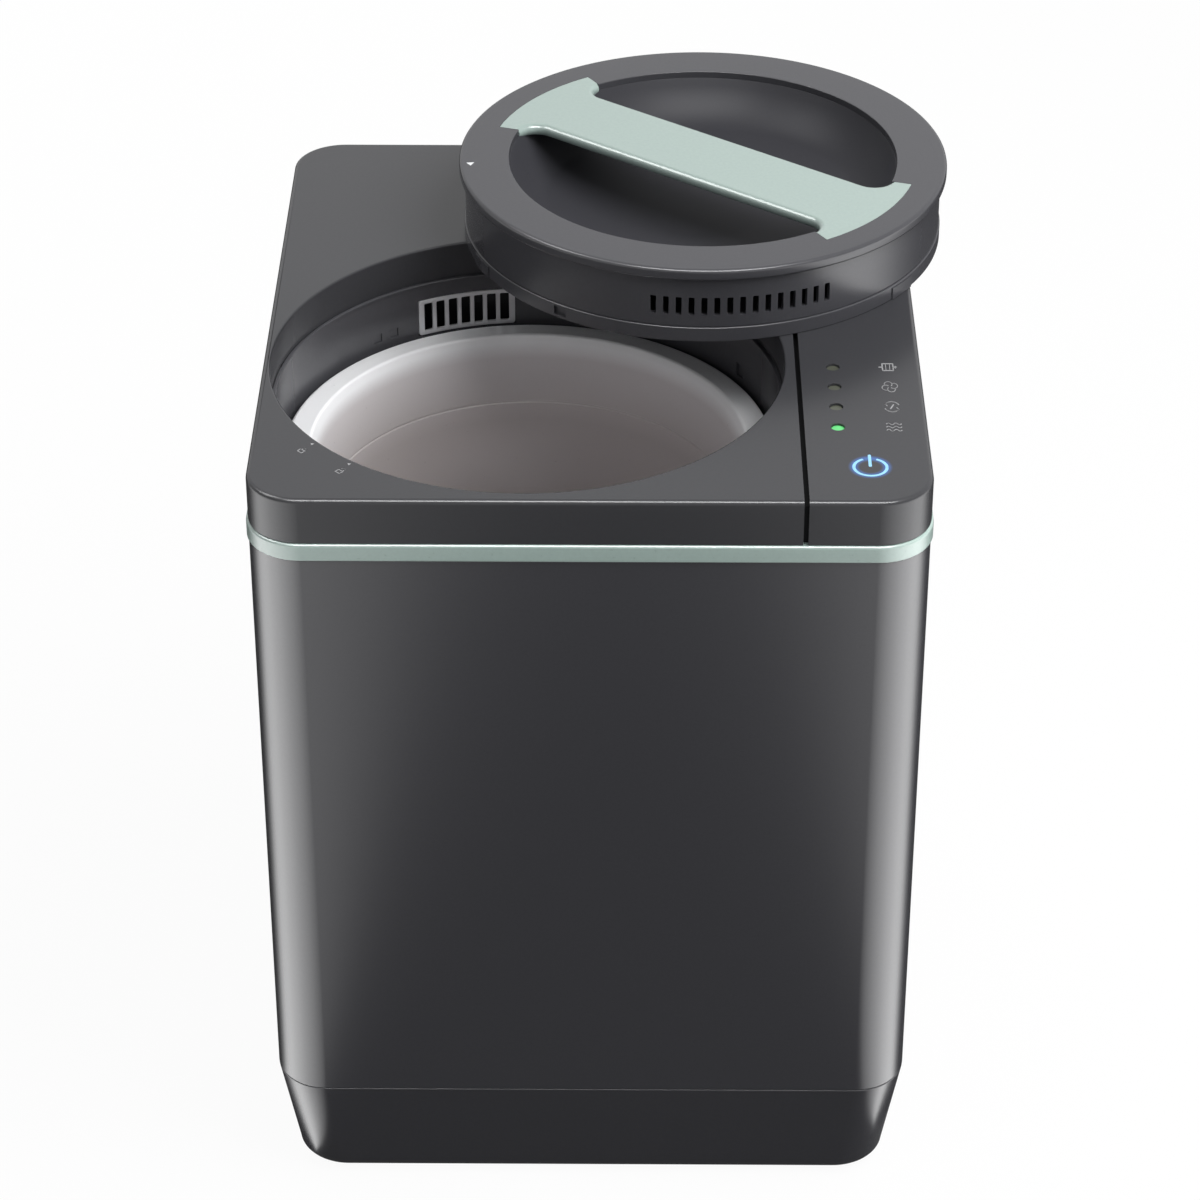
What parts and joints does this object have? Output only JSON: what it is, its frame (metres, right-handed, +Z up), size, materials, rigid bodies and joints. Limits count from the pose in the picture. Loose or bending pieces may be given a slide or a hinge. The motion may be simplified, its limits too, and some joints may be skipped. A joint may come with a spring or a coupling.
{
  "type": "electric food waste composter",
  "caption": "Tall countertop composter: a heated round chamber with a lift-out grinding bucket, a twist-in lid with a bridge handle, touch controls and pull-out carbon filter boxes at the back.",
  "frame": {"origin": "on the floor under the middle of the outline that the body and the set-down lid make together", "axes": "+Z up, +Y to the back, +X to the right seen from the front"},
  "size_m": [0.2882, 0.3362, 0.3844],
  "materials": {
    "graphite_body": "satin",
    "graphite_lid": "semi-gloss",
    "dark_gloss": "gloss",
    "mint": "satin",
    "black_plastic": "matt",
    "coupling_plastic": "matt",
    "gear_plastic": "matt",
    "sheet_steel": "satin",
    "machined_steel": "satin",
    "blade_steel": "polished",
    "heater_aluminium": "cast",
    "heater_tube": "dull",
    "bucket_coating": "satin coating",
    "brass": "satin",
    "copper_winding": "lacquered",
    "insulation_wool": "matt",
    "circuit_board": "satin",
    "lens_off": "gloss",
    "lens_lit": "gloss",
    "light_guide": "gloss",
    "rubber_foot": "matt",
    "seal_rubber": "matt",
    "carbon": "granular"
  },
  "bodies": {
    "machine": {"body_shell": "graphite_body", "base_tray": "graphite_body", "trim_band": "mint", "deck_cover": "graphite_body", "control_cover": "graphite_body", "gap_strip": "black_plastic", "chamber_liner": "dark_gloss", "vent_grille": "sheet_steel", "insulation_jacket": "insulation_wool", "heater_plate": "heater_aluminium", "heating_element": "heater_tube", "thermal_cutouts": "heater_tube", "heater_posts": "machined_steel", "chassis_plate": "sheet_steel", "chassis_screws": "machined_steel", "gearbox_housing": "sheet_steel", "gearbox_cover": "sheet_steel", "motor_case": "sheet_steel", "motor_stator": "copper_winding", "air_duct": "black_plastic", "fan_frame": "black_plastic", "filter_frame": "black_plastic", "power_inlet": "black_plastic", "inlet_pins": "brass", "power_board": "circuit_board", "control_board": "circuit_board", "indicator_lenses": "lens_off", "lit_lens": "lens_lit", "power_symbol": "light_guide", "lid_switch": "black_plastic", "rubber_feet": "rubber_foot"},
    "drive": {"drive_shaft": "machined_steel", "drive_gear": "gear_plastic", "drive_coupling": "coupling_plastic"},
    "motor_armature": {"motor_rotor": "machined_steel", "motor_pinion": "brass"},
    "fan": {"fan_rotor": "black_plastic"},
    "plunger": {"switch_plunger": "coupling_plastic"},
    "bucket": {"bucket": "bucket_coating", "bucket_base": "bucket_coating", "breaker_bars": "blade_steel", "grinder_bush": "brass"},
    "grinder": {"grinder_shaft": "machined_steel", "grinder_arms": "blade_steel", "grinder_socket": "coupling_plastic"},
    "filter_left": {"filter_case_left": "black_plastic", "carbon_left": "carbon"},
    "filter_right": {"filter_case_right": "black_plastic", "carbon_right": "carbon"},
    "lid": {"lid_shell": "graphite_lid", "lid_bowl": "dark_gloss", "lid_handle": "mint", "lid_collar": "graphite_lid", "lid_baffle": "dark_gloss", "lid_seal": "seal_rubber", "lid_screws": "machined_steel"}
  },
  "joints": [
    {"name": "bucket_lift", "type": "slide", "parent": "machine", "child": "bucket", "axis": [0, 0, 1], "range_m": [0, 0.2]},
    {"name": "lid_lift", "type": "slide", "parent": "machine", "child": "lid", "axis": [0, 0, 1], "range_m": [0, 0.4]},
    {"name": "drive_spin", "type": "hinge", "parent": "machine", "child": "drive", "pos_m": [-0.03475, -0.05505, 0.13], "axis": [0, 0, 1], "continuous": true},
    {"name": "motor_spin", "type": "hinge", "parent": "machine", "child": "motor_armature", "pos_m": [0.00343, -0.01687, 0.09], "axis": [0, 0, 1], "continuous": true},
    {"name": "grinder_spin", "type": "hinge", "parent": "bucket", "child": "grinder", "pos_m": [-0.03475, -0.05505, 0.22], "axis": [0, 0, 1], "continuous": true},
    {"name": "fan_spin", "type": "hinge", "parent": "machine", "child": "fan", "pos_m": [-0.00825, 0.06775, 0.222], "axis": [0, 1, 0], "continuous": true},
    {"name": "switch_press", "type": "slide", "parent": "machine", "child": "plunger", "axis": [0.5, 0.866, 0], "range_m": [0, 0.0012], "stiffness_N_per_m": 150},
    {"name": "filter_left_slide", "type": "slide", "parent": "machine", "child": "filter_left", "axis": [0, 1, 0], "range_m": [0, 0.075]},
    {"name": "filter_right_slide", "type": "slide", "parent": "machine", "child": "filter_right", "axis": [0, 1, 0], "range_m": [0, 0.075]}
  ],
  "couplings": [
    {"joint": "lid_lift", "follows": "bucket_lift", "ratio": 2},
    {"joint": "motor_spin", "follows": "drive_spin", "ratio": -5},
    {"joint": "grinder_spin", "follows": "drive_spin", "ratio": 1}
  ]
}
